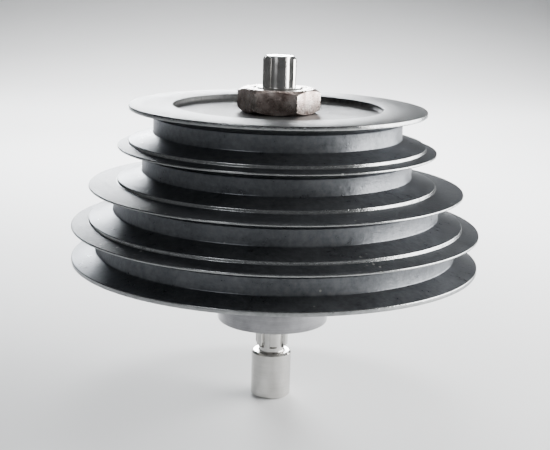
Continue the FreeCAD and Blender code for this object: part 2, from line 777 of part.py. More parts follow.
def check_and_write():
    doc.recompute()
    failed = [item.Name for item in doc.Objects if set(item.State) & {"Invalid", "Error"}]
    if failed:
        raise RuntimeError("these objects did not build: %s" % failed)
    os.makedirs("parts", exist_ok=True)
    for node in nodes:
        shape = node.Shape
        if shape.isNull() or not shape.isValid() or not shape.Solids:
            raise RuntimeError("%s has no valid solid" % node.Label)
        print("%-28s %2d solids %12.2f mm3" % (node.Label, len(shape.Solids), shape.Volume))
    for node in nodes:
        node.Shape.exportStep(os.path.join("parts", node.Label + ".step"))


cone_pulley()
drive_sleeve()
drive_key()
pulley_nut()
spindle()
spacers()
retaining_ring()
bearing("lower_bearing", STACK_BOTTOM)
bearing("upper_bearing", UPPER_BEARING)
check_and_write()
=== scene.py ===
import math

import bpy
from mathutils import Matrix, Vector


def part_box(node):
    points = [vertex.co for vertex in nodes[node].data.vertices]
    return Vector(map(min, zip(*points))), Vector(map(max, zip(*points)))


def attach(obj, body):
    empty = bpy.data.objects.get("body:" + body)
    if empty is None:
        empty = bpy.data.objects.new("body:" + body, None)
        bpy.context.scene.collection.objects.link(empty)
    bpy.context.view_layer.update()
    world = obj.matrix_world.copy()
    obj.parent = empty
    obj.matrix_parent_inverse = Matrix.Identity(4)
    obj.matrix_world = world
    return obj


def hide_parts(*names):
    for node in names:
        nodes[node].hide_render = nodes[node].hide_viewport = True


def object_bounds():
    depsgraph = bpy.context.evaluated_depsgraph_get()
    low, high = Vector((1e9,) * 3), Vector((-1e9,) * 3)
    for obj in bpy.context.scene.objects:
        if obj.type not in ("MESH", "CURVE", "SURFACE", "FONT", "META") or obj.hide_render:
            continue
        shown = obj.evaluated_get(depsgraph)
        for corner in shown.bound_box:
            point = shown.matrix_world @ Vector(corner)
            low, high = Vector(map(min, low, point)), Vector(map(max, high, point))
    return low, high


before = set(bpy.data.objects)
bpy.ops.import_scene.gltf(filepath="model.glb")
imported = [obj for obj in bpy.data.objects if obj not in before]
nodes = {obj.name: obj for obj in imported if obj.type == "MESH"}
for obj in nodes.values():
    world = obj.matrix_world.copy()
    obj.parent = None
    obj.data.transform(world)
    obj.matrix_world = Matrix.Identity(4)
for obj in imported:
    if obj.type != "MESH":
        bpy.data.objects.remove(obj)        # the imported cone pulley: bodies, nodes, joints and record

# Looks for a drill spindle's four-step cone pulley. Sizes in the dictionaries are in millimetres;
# a piece's height comes from the node that it stands for.

mm = 0.001
cadBox = [list(corner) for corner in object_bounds()]


def low(node):
    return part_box(node)[0].z / mm


def high(node):
    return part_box(node)[1].z / mm


# --- shader maths and nodes


class Wire:
    # A node's output that can be used in a sum, a product and so on.
    def __init__(self, paint, socket):
        self.paint = paint
        self.socket = socket

    def math(self, operation, first, second=0.0):
        return self.paint.node("ShaderNodeMath", {"operation": operation}, {0: first, 1: second})

    def __add__(self, other):
        return self.math("ADD", self, other)

    def __radd__(self, other):
        return self.math("ADD", other, self)

    def __sub__(self, other):
        return self.math("SUBTRACT", self, other)

    def __rsub__(self, other):
        return self.math("SUBTRACT", other, self)

    def __mul__(self, other):
        return self.math("MULTIPLY", self, other)

    def __rmul__(self, other):
        return self.math("MULTIPLY", other, self)

    def __truediv__(self, other):
        return self.math("DIVIDE", self, other)

    def __pow__(self, other):
        return self.math("POWER", self, other)

    def __abs__(self):
        return self.math("ABSOLUTE", self)

    def atLeast(self, other):
        return self.math("MAXIMUM", self, other)

    def atMost(self, other):
        return self.math("MINIMUM", self, other)


class Paint:
    # A material with one Principled shader, built up node by node.
    def __init__(self, name, **fixed):
        self.material = bpy.data.materials.new(name)
        self.material.use_nodes = True
        self.tree = self.material.node_tree
        self.shader = self.tree.nodes["Principled BSDF"]
        for socket, value in fixed.items():
            self.shader.inputs[socket.replace("_", " ")].default_value = value
        self.place = self.node("ShaderNodeTexCoord", output="Object")
        parts = self.node("ShaderNodeSeparateXYZ", inputs={"Vector": self.place})
        tree = parts.socket.node
        self.x, self.y, self.z = (Wire(self, tree.outputs[axis]) for axis in "XYZ")
        self.radius = (self.x * self.x + self.y * self.y) ** 0.5

    def node(self, kind, settings=None, inputs=None, output=0):
        made = self.tree.nodes.new(kind)
        for name, value in (settings or {}).items():
            if name == "stops":
                ramp = made.color_ramp
                for i, (at, colour) in enumerate(value):
                    stop = ramp.elements[i] if i < len(ramp.elements) else ramp.elements.new(at)
                    stop.position = at
                    stop.color = (*colour, 1.0)
            else:
                setattr(made, name, value)
        for name, value in (inputs or {}).items():
            if isinstance(value, Wire):
                self.tree.links.new(value.socket, made.inputs[name])
            else:
                made.inputs[name].default_value = value
        return Wire(self, made.outputs[output])

    def feed(self, socket, wire):
        self.tree.links.new(wire.socket, self.shader.inputs[socket])

    def noise(self, scale, detail=3.0, roughness=0.55, place=None):
        settings = {"noise_dimensions": "3D"}
        inputs = {"Vector": place or self.place, "Scale": scale, "Detail": detail, "Roughness": roughness}
        return self.node("ShaderNodeTexNoise", settings, inputs)

    def step(self, value, start, end):
        # Rises smoothly from 0 at start to 1 at end.
        settings = {"interpolation_type": "SMOOTHSTEP"}
        return self.node("ShaderNodeMapRange", settings, {"Value": value, "From Min": start, "From Max": end})

    def between(self, value, bottom, top, soft):
        return self.step(value, bottom - soft, bottom) * (1 - self.step(value, top, top + soft))

    def point(self, x, y, z):
        return self.node("ShaderNodeCombineXYZ", inputs={"X": x, "Y": y, "Z": z})

    def colours(self, factor, *stops):
        return self.node("ShaderNodeValToRGB", {"stops": stops}, {"Fac": factor}, "Color")

    def blend(self, factor, first, second, way="MIX"):
        settings = {"data_type": "RGBA", "blend_type": way, "clamp_factor": True}
        return self.node("ShaderNodeMix", settings, {0: factor, 6: first, 7: second}, 2)

    def bump(self, height, strength, depth, below=None):
        inputs = {"Height": height, "Strength": strength, "Distance": depth}
        if below is not None:
            inputs["Normal"] = below
        return self.node("ShaderNodeBump", inputs=inputs)

    def specks(self, scale, size, share):
        # Small round marks in a share of the cells.
        cells = {"Vector": self.place, "Scale": scale, "Randomness": 1.0}
        near = self.node("ShaderNodeTexVoronoi", {"feature": "F1"}, cells, "Distance")
        pick = self.node("ShaderNodeTexVoronoi", {"feature": "F1"}, cells, "Color")
        chosen = self.node("ShaderNodeSeparateColor", inputs={"Color": pick})
        return (1 - self.step(near, size * 0.4, size)) * self.step(chosen, 1 - share, 1 - share * 0.9)

    def toolMarks(self, fine, wander=0.0):
        # Rings left by a turning tool: the pattern changes with radius and height, hardly round the axis.
        place = self.point(self.radius * fine, wander * self.x, self.z * fine)
        return self.noise(1.0, 2.0, 0.6, place)


# --- modelling helpers


def deselect():
    bpy.ops.object.select_all(action="DESELECT")


def only(piece):
    deselect()
    piece.select_set(True)
    bpy.context.view_layer.objects.active = piece


def edit(piece, picking="VERT"):
    only(piece)
    bpy.ops.object.mode_set(mode="EDIT")
    bpy.ops.mesh.select_mode(type=picking)


def applyPlace(piece):
    only(piece)
    bpy.ops.object.transform_apply(location=True, rotation=True, scale=True)


def rounded(corners, arcSteps=4):
    # Corners are (across, up, rounding); each rounding becomes an arc that touches both sides.
    points = []
    for i, (across, up, size) in enumerate(corners):
        here = Vector((across, up))
        if not size:
            points.append(here)
            continue
        before = (Vector(corners[i - 1][:2]) - here).normalized()
        after = (Vector(corners[(i + 1) % len(corners)][:2]) - here).normalized()
        half = before.angle(after) / 2
        centre = here + (before + after).normalized() * (size / math.sin(half))
        start = here + before * (size / math.tan(half)) - centre
        end = here + after * (size / math.tan(half)) - centre
        sweep = math.atan2(start.cross(end), start.dot(end))
        for step in range(arcSteps + 1):
            turn = math.atan2(start.y, start.x) + sweep * step / arcSteps
            points.append(centre + Vector((math.cos(turn), math.sin(turn))) * size)
    return points


def traced(name, points):
    # Draws a wire by extruding one vertex from point to point, and leaves it open for editing.
    deselect()
    spots = [Vector(point) * mm for point in points]
    bpy.ops.mesh.primitive_plane_add(size=mm, location=spots[0])
    piece = bpy.context.object
    piece.name = name
    piece.data.name = name
    applyPlace(piece)
    edit(piece)
    bpy.ops.mesh.select_all(action="SELECT")
    bpy.ops.mesh.merge(type="CENTER")
    for here, there in zip(spots, spots[1:]):
        bpy.ops.mesh.extrude_vertices_move(TRANSFORM_OT_translate={"value": there - here})
    bpy.ops.mesh.select_all(action="SELECT")
    return piece


def smooth(piece, degrees=32):
    only(piece)
    bpy.ops.object.shade_smooth_by_angle(angle=math.radians(degrees))
    return piece


def closeMesh():
    bpy.ops.mesh.select_all(action="SELECT")
    bpy.ops.mesh.remove_doubles(threshold=mm * 0.002)
    bpy.ops.mesh.normals_make_consistent(inside=False)
    bpy.ops.object.mode_set(mode="OBJECT")


def turned(name, corners, steps=160, arcSteps=4, base=0.0):
    # Spins a closed outline of (radius, height, rounding) corners about the axis.
    outline = rounded(corners, arcSteps)
    piece = traced(name, [(point.x, 0, point.y + base) for point in outline + outline[:1]])
    bpy.ops.mesh.spin(steps=steps, angle=2 * math.pi, center=(0, 0, 0), axis=(0, 0, 1))
    closeMesh()
    return piece


def prism(name, points, length, direction):
    # Fills an outline and extrudes it along direction.
    piece = traced(name, points + points[:1])
    bpy.ops.mesh.remove_doubles(threshold=mm * 0.002)
    bpy.ops.mesh.edge_face_add()
    shift = Vector(direction) * length * mm
    bpy.ops.mesh.extrude_region_move(TRANSFORM_OT_translate={"value": shift})
    closeMesh()
    return piece


def carve(piece, tool, operation="DIFFERENCE"):
    only(piece)
    cut = piece.modifiers.new("carve", "BOOLEAN")
    cut.operation = operation
    cut.solver = "EXACT"
    cut.object = tool
    bpy.ops.object.modifier_apply(modifier=cut.name)
    bpy.data.objects.remove(tool)
    return piece


def selectEdges(piece, chosen):
    # Selects the edges whose two ends satisfy chosen, and nothing else.
    edit(piece, "EDGE")
    bpy.ops.mesh.select_all(action="DESELECT")
    bpy.ops.object.mode_set(mode="OBJECT")
    for edge in piece.data.edges:
        edge.select = chosen(*(piece.data.vertices[i].co for i in edge.vertices))


def breakEdges(piece, width, degrees=28, segments=2):
    only(piece)
    bevel = piece.modifiers.new("edges", "BEVEL")
    bevel.width = width * mm
    bevel.segments = segments
    bevel.limit_method = "ANGLE"
    bevel.angle_limit = math.radians(degrees)
    bevel.harden_normals = False
    bpy.ops.object.modifier_apply(modifier=bevel.name)
    return piece


def placed(piece, node, body):
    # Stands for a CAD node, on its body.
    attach(piece, body)
    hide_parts(node)
    return piece


def dress(piece, *paints):
    piece.data.materials.clear()
    for paint in paints:
        piece.data.materials.append(paint.material)


def assignWhere(piece, slotIndex, chosen):
    # Gives a material slot to the faces whose middle and normal satisfy chosen.
    edit(piece, "FACE")
    bpy.ops.mesh.select_all(action="DESELECT")
    bpy.ops.object.mode_set(mode="OBJECT")
    for face in piece.data.polygons:
        middle = face.center / mm
        face.select = chosen(math.hypot(middle.x, middle.y), middle.z, face.normal)
    bpy.ops.object.mode_set(mode="EDIT")
    piece.active_material_index = slotIndex
    bpy.ops.object.material_slot_assign()
    bpy.ops.object.mode_set(mode="OBJECT")


# --- camera and light

camera = {
    "back": 491.3,        # from the axis, along -Y
    "aside": 3.95,        # to the left of the axis
    "above": 59.4,        # over the pulley's top
    "aimHeight": 34.0,
    "lens": 78.0,
    "roll": 1.7,
}

bpy.ops.object.camera_add()
eye = bpy.context.object
eye.name = "frontCamera"
eye.location = Vector((-camera["aside"], -camera["back"], high("cone_pulley") + camera["above"])) * mm
aim = Vector((0, 0, camera["aimHeight"])) * mm
eye.rotation_mode = "QUATERNION"
eye.rotation_quaternion = (aim - eye.location).to_track_quat("-Z", "Y")
bpy.context.view_layer.update()
eye.rotation_mode = "XYZ"
eye.rotation_euler.rotate_axis("Z", math.radians(camera["roll"]))
eye.data.lens = camera["lens"]
eye.data.sensor_width = 36.0
eye.data.clip_start = 0.01
bpy.context.scene.camera = eye


def softbox(name, place, aimAt, width, height, power, colour=(1.0, 1.0, 1.0), spread=180):
    bpy.ops.object.light_add(type="AREA", location=place)
    lamp = bpy.context.object
    lamp.name = name
    lamp.rotation_euler = (Vector(aimAt) - Vector(place)).to_track_quat("-Z", "Y").to_euler()
    lamp.data.shape = "RECTANGLE"
    lamp.data.size = width
    lamp.data.size_y = height
    lamp.data.energy = power
    lamp.data.color = colour
    lamp.data.spread = math.radians(spread)
    lamp.visible_camera = False
    return lamp


middle = (0.0, 0.0, 0.04)
softbox("rightSoftbox", (0.55, 0.10, 0.17), (0.0, 0.0, 0.10), 0.72, 0.42, 17.0, (1.0, 0.99, 0.97))
softbox("backLeftSoftbox", (-0.19, 1.02, 0.27), middle, 0.60, 0.20, 3.8, (0.97, 0.99, 1.0), 70)
softbox("topSoftbox", (0.0, 0.85, 1.35), (0.0, 0.85, 0.0), 1.0, 0.8, 20.0, (1.0, 1.0, 1.0), 56)
softbox("frontFill", (-0.55, -0.80, 0.60), middle, 0.25, 0.25, 2.0, (0.95, 0.97, 1.0))

world = bpy.data.worlds.new("studio")
world.use_nodes = True
world.node_tree.nodes["Background"].inputs["Color"].default_value = (0.80, 0.82, 0.85, 1.0)
world.node_tree.nodes["Background"].inputs["Strength"].default_value = 0.16
bpy.context.scene.world = world

floorPaint = Paint("paleFloor", Roughness=0.75)
cloud = floorPaint.noise(3.0, 2.0)
floorPaint.feed("Base Color", floorPaint.colours(cloud, (0.3, (0.74, 0.75, 0.76)), (0.7, (0.78, 0.79, 0.80))))

cove = {"width": 7.0, "front": -2.5, "back": 2.2, "rise": 1.3, "bend": 1.1}     # metres


def makeFloor():
    # One sheet: a floor whose back edge is drawn up into a wall, with a wide bend between them.
    deselect()
    depth = cove["back"] - cove["front"]
    place = (0, (cove["front"] + cove["back"]) / 2, cadBox[0][2])
    bpy.ops.mesh.primitive_plane_add(size=1.0, location=place)
    sheet = bpy.context.object
    sheet.name = "floor"
    sheet.scale = (cove["width"], depth, 1)
    applyPlace(sheet)
    selectEdges(sheet, lambda a, b: min(a.y, b.y) > cove["back"] - 0.01)
    bpy.ops.object.mode_set(mode="EDIT")
    bpy.ops.mesh.extrude_region_move(TRANSFORM_OT_translate={"value": (0, 0, cove["rise"])})
    bpy.ops.object.mode_set(mode="OBJECT")
    selectEdges(sheet, lambda a, b: min(a.y, b.y) > cove["back"] - 0.01 and max(a.z, b.z) < 0.01)
    bpy.ops.object.mode_set(mode="EDIT")
    bpy.ops.mesh.bevel(offset=cove["bend"], segments=24, affect="EDGES")
    bpy.ops.object.mode_set(mode="OBJECT")
    return smooth(sheet, 60)


floor = makeFloor()
dress(floor, floorPaint)
print("camera, lights and floor done")


# --- the cone pulley

pulley = {
    "rims": (61.5, 66.0, 77.75, 85.0),     # from the top step down
    "grooveMouth": 12.8,
    "grooveFloor": 6.9,
    "grooveDepth": 10.0,
    "bottomRim": 1.8,
    "topRim": 1.7,
    "rimLand": 0.8,
    "stepDrop": 1.2,
    "falls": (1.0, 1.5, 1.8),
    "rimRound": 0.35,
    "floorRound": 0.6,
    "wall": 5.0,
    "wallRamp": 3.0,
    "dishRadius": 43.5,
    "dishDepth": 2.5,
    "dishRound": 1.6,
    "web": 7.0,
    "hubRadius": 20.0,
    "hubLength": 43.0,
    "hubRoot": 3.0,
    "castRound": 2.2,
    "bore": 12.02,
    "ribs": 6,
    "ribWidth": 4.5,
    "ribOverlap": 2.0,
    "keyHalf": 2.53,
    "keyReach": 14.03,
    "steps": 224,
}


def pulleyLevels():
    # Heights above the pulley's foot: where each groove starts, and the top of its rim.
    foot, crest = {}, {}
    level = pulley["bottomRim"]
    for step in (3, 2, 1, 0):
        foot[step] = level
        crest[step] = level + pulley["grooveMouth"] + (pulley["rimLand"] if step else pulley["topRim"])
        if step:
            level = crest[step] + pulley["falls"][step - 1] + pulley["stepDrop"]
    return foot, crest


foot, crest = pulleyLevels()
base = low("cone_pulley")
dishFloor = crest[0] - pulley["dishDepth"]
webUnder = dishFloor - pulley["web"]
innerRadii = [rim - pulley["grooveDepth"] - pulley["wall"] for rim in pulley["rims"]]


def pulleyOutline():
    p = pulley
    inset = (p["grooveMouth"] - p["grooveFloor"]) / 2
    corners = [(innerRadii[3], 0, 0.6), (p["rims"][3], 0, p["rimRound"])]
    for step in (3, 2, 1, 0):
        rim = p["rims"][step]
        floor = rim - p["grooveDepth"]
        head = foot[step] + p["grooveMouth"]
        if step < 3:
            corners.append((rim, crest[step + 1] + p["falls"][step], 0.25))
        corners.append((rim, foot[step], p["rimRound"]))
        corners.append((floor, foot[step] + inset, p["floorRound"]))
        corners.append((floor, head - inset, p["floorRound"]))
        corners.append((rim, head, p["rimRound"]))
        corners.append((rim, crest[step], p["rimRound"]))
    corners.append((p["dishRadius"], crest[0], p["rimRound"]))
    corners.append((p["dishRadius"], dishFloor, p["dishRound"]))
    corners.append((p["bore"], dishFloor, 0.3))
    corners.append((p["bore"], dishFloor - p["hubLength"], 0.3))
    corners.append((p["hubRadius"], dishFloor - p["hubLength"], 0.8))
    corners.append((p["hubRadius"], webUnder, p["hubRoot"]))
    corners.append((innerRadii[0], webUnder, p["castRound"]))
    for step in (1, 2, 3):
        corners.append((innerRadii[step - 1], crest[step] + p["wallRamp"], p["castRound"]))
        corners.append((innerRadii[step], crest[step] - p["wallRamp"], p["castRound"]))
    return corners


def makeRibs():
    p = pulley
    start = p["hubRadius"] - 1.0
    under = crest[2] + p["wallRamp"] + 1.0
    wide = innerRadii[1] + p["ribOverlap"]
    narrow = innerRadii[0] + p["ribOverlap"]
    side = [(start, under), (wide, under), (wide, crest[1] - p["wallRamp"])]
    side += [(narrow, crest[1] + p["wallRamp"]), (narrow, webUnder + 1.0), (start, webUnder + 1.0)]
    points = [(x, -p["ribWidth"] / 2, z + base) for x, z in side]
    first = prism("rib", points, p["ribWidth"], (0, 1, 0))
    lowest = (under + base) * mm
    selectEdges(
        first, lambda a, b: max(abs(a.z - lowest), abs(b.z - lowest)) < 0.01 * mm and abs(a.x - b.x) > mm
    )
    bpy.ops.object.mode_set(mode="EDIT")
    bpy.ops.mesh.bevel(offset=1.2 * mm, segments=4, affect="EDGES")
    bpy.ops.object.mode_set(mode="OBJECT")
    ribs = [first]
    for count in range(1, p["ribs"]):
        copy = first.copy()
        copy.data = first.data.copy()
        bpy.context.collection.objects.link(copy)
        copy.rotation_euler.z = 2 * math.pi * count / p["ribs"]
        applyPlace(copy)
        ribs.append(copy)
    deselect()
    for rib in ribs:
        rib.select_set(True)
    bpy.context.view_layer.objects.active = first
    bpy.ops.object.join()
    return first


def makeKeyway():
    points = [(0, -pulley["keyHalf"]), (pulley["keyReach"], -pulley["keyHalf"])]
    points += [(pulley["keyReach"], pulley["keyHalf"]), (0, pulley["keyHalf"])]
    bottom = base + dishFloor - pulley["hubLength"] - 1.0
    return prism("keyway", [(x, y, bottom) for x, y in points], pulley["hubLength"] + 2.0, (0, 0, 1))


def rimWear(paint, ragged):
    # Bare metal along the rims' edges, broken up by ragged, a pattern from 0 to 1.
    total = None
    for step, rim in enumerate(pulley["rims"]):
        head = base + foot[step] + pulley["grooveMouth"]
        start = base + foot[step] - (pulley["bottomRim"] if step == 3 else pulley["stepDrop"])
        onRim = paint.step(paint.radius, (rim - 0.34) * mm, (rim - 0.06) * mm)
        upper = paint.between(paint.z, (head - 0.1) * mm, (base + crest[step] + 0.1) * mm, 0.2 * mm)
        lower = paint.between(paint.z, start * mm, (base + foot[step] + 0.1) * mm, 0.2 * mm)
        band = onRim * upper.atLeast(lower)
        total = band if total is None else total.atLeast(band)
    return paint.step(total * 0.7 + ragged * 0.6, 0.66, 1.1)


def graphite(name, dark, light, metal, gloss, grain, marks, speckShare):
    # The pulley's dark coating: gloss is its roughness, grain its casting texture, marks its turning rings.
    paint = Paint(name, Specular_Tint=(0.45, 0.46, 0.48, 1.0))
    patches = paint.noise(70.0, 4.0, 0.6)
    ragged = paint.noise(260.0, 5.0, 0.7)
    mottle = paint.noise(430.0, 4.0, 0.65)
    wear = rimWear(paint, ragged)
    coat = paint.colours(patches * 0.45 + mottle * 0.55, (0.38, dark), (0.62, light))
    rings = paint.toolMarks(1700.0)
    streaks = paint.toolMarks(700.0, 6.0)
    coat = paint.blend(streaks * 0.25 * marks, coat, (*[tone * 1.5 for tone in light], 1.0))
    dust = paint.specks(420.0, 0.28, speckShare)
    coat = paint.blend(dust * 0.55, coat, (0.42, 0.42, 0.40, 1.0))
    coat = paint.blend(wear, coat, (0.36, 0.37, 0.37, 1.0))
    paint.feed("Base Color", coat)
    paint.feed("Metallic", (metal + 0.4 * wear).atMost(0.96))
    rough = gloss + (patches - 0.5) * 0.14 + (mottle - 0.5) * 0.22 + (streaks - 0.5) * 0.05 * marks
    paint.feed("Roughness", (rough + dust * 0.3 - wear * 0.12).atLeast(0.16))
    castGrain = paint.noise(900.0, 3.0, 0.6)
    pits = paint.specks(520.0, 0.3, 0.25)
    skin = paint.bump(castGrain - pits * 0.4, grain, 0.00025)
    paint.feed("Normal", paint.bump(rings, 0.16 * marks, 0.00006, skin))
    return paint


print("painting the pulley")
turnedCoat = graphite(
    "turnedGraphite", (0.058, 0.062, 0.068), (0.122, 0.128, 0.137), 0.74, 0.32, 0.35, 1.0, 0.012
)
landCoat = graphite("castGraphite", (0.034, 0.037, 0.041), (0.062, 0.066, 0.072), 0.55, 0.42, 0.6, 0.3, 0.06)
dishCoat = graphite("dishGraphite", (0.014, 0.015, 0.015), (0.066, 0.067, 0.066), 0.45, 0.50, 0.8, 1.0, 0.12)
topCoat = graphite("topGraphite", (0.060, 0.063, 0.065), (0.130, 0.133, 0.135), 0.50, 0.42, 0.6, 1.0, 0.12)
insideCoat = graphite(
    "insideGraphite", (0.040, 0.042, 0.044), (0.065, 0.068, 0.071), 0.40, 0.60, 0.9, 0.0, 0.06
)

print("turning the pulley")
conePulley = turned("conePulley", pulleyOutline(), pulley["steps"], 3, base)
carve(conePulley, makeRibs(), "UNION")
carve(conePulley, makeKeyway())
dress(conePulley, turnedCoat, landCoat, dishCoat, insideCoat, topCoat)


def isLand(radius, height, normal):
    z = height - base
    for step in (0, 1, 2):
        start, end = crest[step + 1] - 0.1, crest[step + 1] + pulley["falls"][step] + 0.1
        if start < z < end and radius > pulley["rims"][step] - 0.1 and normal.z > 0.7:
            return True
    return False


assignWhere(conePulley, 1, isLand)
assignWhere(conePulley, 2, lambda r, z, n: r < pulley["dishRadius"] + 0.2 and z > base + dishFloor - 0.2)
assignWhere(
    conePulley, 4, lambda r, z, n: r > pulley["dishRadius"] + 0.2 and z > base + crest[0] - 0.1 and n.z > 0.7
)


def isInside(radius, height, normal):
    z = height - base
    if z > dishFloor - 0.5:
        return False
    if radius < innerRadii[0] + 0.6:
        return True
    for step in (1, 2, 3):
        if radius < innerRadii[step] + 0.6 and z < crest[step] + pulley["wallRamp"] + 0.1:
            return True
    return False


assignWhere(conePulley, 3, isInside)
smooth(conePulley)
placed(conePulley, "cone_pulley", "rotor")
print("pulley done:", len(conePulley.data.polygons), "faces")


# --- the clamping nut

nut = {
    "flats": 30.0,
    "turn": 25.1,
    "bore": 9.9,
    "countersink": 0.8,
    "chamferStart": 0.97,     # share of the half width where the 30 degree chamfer begins
    "edge": 0.22,
}


def makeNut():
    bottom, top = low("pulley_nut"), high("pulley_nut")
    corner = nut["flats"] / 2 / math.cos(math.pi / 6)
    deselect()
    bpy.ops.mesh.primitive_cylinder_add(
        vertices=6,
        radius=corner * mm,
        depth=(top - bottom) * mm,
        location=(0, 0, (top + bottom) / 2 * mm),
        rotation=(0, 0, math.radians(nut["turn"])),
    )
    piece = bpy.context.object
    piece.name = "pulleyNut"
    applyPlace(piece)
    start = nut["flats"] / 2 * nut["chamferStart"]
    fall = (corner + 2 - start) * math.tan(math.pi / 6)
    blank = [(0, bottom, 0), (start, bottom, 0), (corner + 2, bottom + fall, 0)]
    blank += [(corner + 2, top - fall, 0), (start, top, 0), (0, top, 0)]
    carve(piece, turned("chamferBlank", blank, 144), "INTERSECT")
    sink = nut["countersink"] + 1.0
    hole = [(0, bottom - 1, 0), (nut["bore"] + sink, bottom - 1, 0), (nut["bore"], bottom + sink - 1, 0)]
    hole += [(nut["bore"], top - sink + 1, 0), (nut["bore"] + sink, top + 1, 0), (0, top + 1, 0)]
    carve(piece, turned("nutHole", hole, 96))
    breakEdges(piece, nut["edge"])
    return smooth(piece, 24)


def nutPaintwork():
    paint = Paint("brownedNut", Specular_IOR_Level=0.5)
    patches = paint.noise(220.0, 4.0, 0.6)
    scale = paint.noise(800.0, 5.0, 0.68)
    corner = nut["flats"] / 2 / math.cos(math.pi / 6)
    worn = paint.step(paint.radius / mm + (scale - 0.5) * 1.6, corner - 0.9, corner + 0.1)
    facing = paint.toolMarks(2600.0)
    normal = paint.node("ShaderNodeTexCoord", output="Normal")
    up = abs(paint.node("ShaderNodeSeparateXYZ", inputs={"Vector": normal}, output="Z"))
    # Faces pointing up or down: the faced ends, which carry turning marks, and also where shade is painted
    facedEndsWithPaintedShade = paint.step(up, 0.3, 0.55)
    darkest, middle, palest = (0.160, 0.115, 0.100), (0.400, 0.325, 0.295), (0.700, 0.640, 0.600)
    browned = paint.colours(patches, (0.3, darkest), (0.52, middle), (0.75, palest))
    # Painted shade: the faces that point up or down are darkened towards a dark brown in the base colour
    colour = paint.blend(facedEndsWithPaintedShade * 0.55, browned, (0.14, 0.115, 0.10, 1.0))
    colour = paint.blend(worn * 0.6, colour, (0.42, 0.39, 0.36, 1.0))
    paint.feed("Base Color", colour)
    paint.feed("Metallic", 0.82 + 0.12 * worn)
    paint.feed("Roughness", (0.31 + (scale - 0.5) * 0.5 - worn * 0.08).atLeast(0.18))
    forged = paint.bump(scale, 0.55, 0.00035)
    paint.feed("Normal", paint.bump(facing * facedEndsWithPaintedShade, 0.2, 0.00008, forged))
    return paint


pulleyNut = makeNut()
dress(pulleyNut, nutPaintwork())
placed(pulleyNut, "pulley_nut", "rotor")
print("nut done")


# --- spindle and drive sleeve

spline = {
    "teeth": 6,
    "core": 5.5,
    "tip": 7.0,
    "width": 3.0,
    "turn": 37.0,
    "play": 0.06,
    "chamfer": 1.2,
    "centreHole": 1.9,
    "pilotHole": 0.6,
    "edge": 0.14,
}
journal = {"radius": 8.5, "length": 20.0, "neck": 2.0, "edge": 0.8}
sleeve = {
    "seat": 12.0,
    "bearing": 10.0,
    "collar": 14.0,
    "collarHeight": 6.0,
    "thread": 9.85,
    "relief": 1.5,
    "edge": 0.8,
    "clipDepth": 0.5,
    "clipSlot": 1.3,
    "keyHalf": 2.53,
    "keyFloor": 9.0,
}


def splineSection(play, arcSteps=5):
    # Once round a splined bore or shaft, grown outwards by play.
    half = spline["width"] / 2 + play
    tipAngle = math.asin(half / (spline["tip"] + play))
    rootAngle = math.asin(half / (spline["core"] + play))
    pitch = 2 * math.pi / spline["teeth"]
    points = []
    for tooth in range(spline["teeth"]):
        middleAngle = math.radians(spline["turn"]) + tooth * pitch
        for radius, start, end in (
            (spline["tip"] + play, -tipAngle, tipAngle),
            (spline["core"] + play, rootAngle, pitch - rootAngle),
        ):
            for step in range(arcSteps + 1):
                turn = middleAngle + start + (end - start) * step / arcSteps
                points.append((radius * math.cos(turn), radius * math.sin(turn)))
    return points


def makeSpindle():
    bottom, top = low("spindle"), high("spindle")
    splineStart = bottom + journal["length"] + journal["neck"]
    section = [(x, y, splineStart) for x, y in splineSection(0.0)]
    piece = prism("spindleEnd", section, top - splineStart, (0, 0, 1))
    near = spline["tip"] - spline["chamfer"]
    far = spline["tip"] + 1.0
    rise = far - near
    blank = [(0, splineStart, 0), (near, splineStart, 0), (far, splineStart + rise, 0)]
    blank += [(far, top - rise, 0), (near, top, 0), (0, top, 0)]
    carve(piece, turned("tipBlank", blank, 96), "INTERSECT")
    breakEdges(piece, spline["edge"], 30, 2)
    edge = journal["edge"]
    shaft = [(0, bottom, 0), (journal["radius"] - edge, bottom, 0), (journal["radius"], bottom + edge, 0)]
    shaft += [(journal["radius"], bottom + journal["length"] - edge, 0)]
    shaft += [(journal["radius"] - edge, bottom + journal["length"], 0.3)]
    shaft += [(spline["core"], bottom + journal["length"], 0.4), (spline["core"], splineStart + 1.0, 0)]
    shaft += [(0, splineStart + 1.0, 0)]
    carve(piece, turned("journalBlank", shaft, 96), "UNION")
    drill, pilot = spline["centreHole"], spline["pilotHole"]
    for end, inward in ((top, -1), (bottom, 1)):
        cone = [(0, end - inward, 0), (drill + 0.577, end - inward, 0)]
        cone += [(pilot, end + inward * (drill - pilot) * 1.732, 0)]
        cone += [(pilot, end + inward * 5.0, 0), (0, end + inward * 5.6, 0)]
        carve(piece, turned("centreDrill", cone, 48))
    return smooth(piece, 26)


